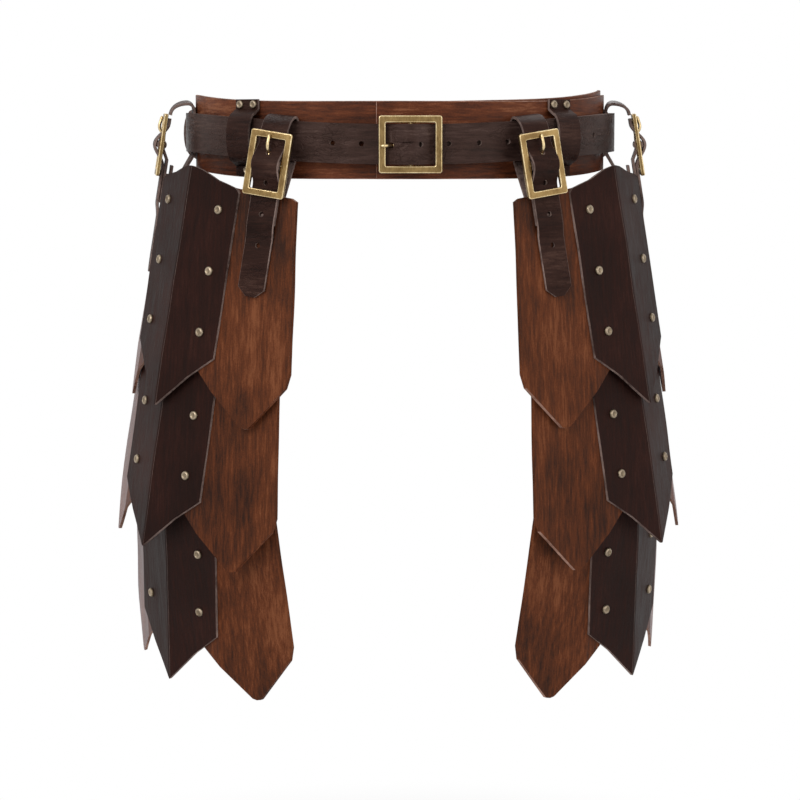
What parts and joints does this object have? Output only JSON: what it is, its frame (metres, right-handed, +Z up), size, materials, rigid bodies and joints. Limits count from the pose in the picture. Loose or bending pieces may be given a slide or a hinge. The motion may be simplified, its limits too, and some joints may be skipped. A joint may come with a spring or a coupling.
{
  "type": "thigh armour",
  "caption": "Brown leather waist band with a buckled dark belt and hanging tassets of overlapping, riveted, pointed plates.",
  "frame": {"origin": "middle of the waist opening, at the band's mid height", "axes": "+Z up, the wearer faces -Y, +X to the wearer's left"},
  "size_m": [0.5762, 0.3221, 0.5984],
  "materials": {
    "brown_leather": "oiled, streaky grain",
    "dark_leather": "oiled, creased",
    "buckle_brass": "antique",
    "rivet_brass": "antique"
  },
  "bodies": {
    "waist": {"waist_band": "brown_leather", "waist_belt": "dark_leather", "belt_buckle_frame": "buckle_brass", "front_tabs": "dark_leather", "side_tabs": "dark_leather", "tab_rivets": "rivet_brass", "left_front_loop": "dark_leather", "left_side_loop": "dark_leather", "right_front_loop": "dark_leather", "right_side_loop": "dark_leather"},
    "belt_prong": {"belt_buckle_prong": "buckle_brass"},
    "left_tasset": {"left_front_buckle": "buckle_brass", "left_side_buckle": "buckle_brass", "left_front_tail": "dark_leather", "left_side_tail": "dark_leather", "left_front_chape": "dark_leather", "left_side_chape": "dark_leather", "left_upper_ridge": "dark_leather", "left_upper_front_wing": "brown_leather", "left_upper_back_wing": "brown_leather", "left_upper_rivets": "rivet_brass", "left_upper_hangers": "dark_leather"},
    "left_middle_tier": {"left_middle_ridge": "dark_leather", "left_middle_front_wing": "brown_leather", "left_middle_back_wing": "brown_leather", "left_middle_rivets": "rivet_brass", "left_middle_links": "dark_leather", "left_middle_hangers": "dark_leather"},
    "left_lower_tier": {"left_lower_ridge": "dark_leather", "left_lower_front_wing": "brown_leather", "left_lower_back_wing": "brown_leather", "left_lower_rivets": "rivet_brass", "left_lower_links": "dark_leather"},
    "left_front_prong": {"left_front_prong": "buckle_brass"},
    "left_side_prong": {"left_side_prong": "buckle_brass"},
    "right_tasset": {"right_front_buckle": "buckle_brass", "right_side_buckle": "buckle_brass", "right_front_tail": "dark_leather", "right_side_tail": "dark_leather", "right_front_chape": "dark_leather", "right_side_chape": "dark_leather", "right_upper_ridge": "dark_leather", "right_upper_front_wing": "brown_leather", "right_upper_back_wing": "brown_leather", "right_upper_rivets": "rivet_brass", "right_upper_hangers": "dark_leather"},
    "right_middle_tier": {"right_middle_ridge": "dark_leather", "right_middle_front_wing": "brown_leather", "right_middle_back_wing": "brown_leather", "right_middle_rivets": "rivet_brass", "right_middle_links": "dark_leather", "right_middle_hangers": "dark_leather"},
    "right_lower_tier": {"right_lower_ridge": "dark_leather", "right_lower_front_wing": "brown_leather", "right_lower_back_wing": "brown_leather", "right_lower_rivets": "rivet_brass", "right_lower_links": "dark_leather"},
    "right_front_prong": {"right_front_prong": "buckle_brass"},
    "right_side_prong": {"right_side_prong": "buckle_brass"}
  },
  "joints": [
    {"name": "belt_prong_lift", "type": "hinge", "parent": "waist", "child": "belt_prong", "pos_m": [0.0043, -0.15937, -0.004], "axis": [0, 0, 1], "range_deg": [0, 25]},
    {"name": "left_tasset_swing", "type": "hinge", "parent": "waist", "child": "left_tasset", "pos_m": [-0.17639, -0.08057, 0.01675], "axis": [-0.61, 0.7858, 0.102], "range_deg": [0, 20]},
    {"name": "left_middle_fold", "type": "hinge", "parent": "left_tasset", "child": "left_middle_tier", "pos_m": [-0.2118, -0.08608, -0.14823], "axis": [0.6259, -0.7729, -0.1045], "range_deg": [0, 12]},
    {"name": "left_lower_fold", "type": "hinge", "parent": "left_middle_tier", "child": "left_lower_tier", "pos_m": [-0.22742, -0.07786, -0.28818], "axis": [0.6259, -0.7729, -0.1045], "range_deg": [0, 12]},
    {"name": "left_front_prong_lift", "type": "hinge", "parent": "left_tasset", "child": "left_front_prong", "pos_m": [-0.13017, -0.15243, -0.02243], "axis": [0.8972, -0.4165, -0.1471], "range_deg": [0, 25]},
    {"name": "left_side_prong_lift", "type": "hinge", "parent": "left_tasset", "child": "left_side_prong", "pos_m": [-0.23839, -0.01268, -0.00433], "axis": [0.092, -0.9956, -0.0189], "range_deg": [0, 25]},
    {"name": "right_tasset_swing", "type": "hinge", "parent": "waist", "child": "right_tasset", "pos_m": [0.17639, -0.08057, 0.01675], "axis": [-0.61, -0.7858, -0.102], "range_deg": [0, 20]},
    {"name": "right_middle_fold", "type": "hinge", "parent": "right_tasset", "child": "right_middle_tier", "pos_m": [0.2118, -0.08608, -0.14823], "axis": [0.6259, 0.7729, 0.1045], "range_deg": [0, 12]},
    {"name": "right_lower_fold", "type": "hinge", "parent": "right_middle_tier", "child": "right_lower_tier", "pos_m": [0.22742, -0.07786, -0.28818], "axis": [0.6259, 0.7729, 0.1045], "range_deg": [0, 12]},
    {"name": "right_front_prong_lift", "type": "hinge", "parent": "right_tasset", "child": "right_front_prong", "pos_m": [0.13017, -0.15243, -0.02243], "axis": [0.8972, 0.4165, 0.1471], "range_deg": [0, 25]},
    {"name": "right_side_prong_lift", "type": "hinge", "parent": "right_tasset", "child": "right_side_prong", "pos_m": [0.23839, -0.01268, -0.00433], "axis": [0.092, 0.9956, 0.0189], "range_deg": [0, 25]}
  ]
}
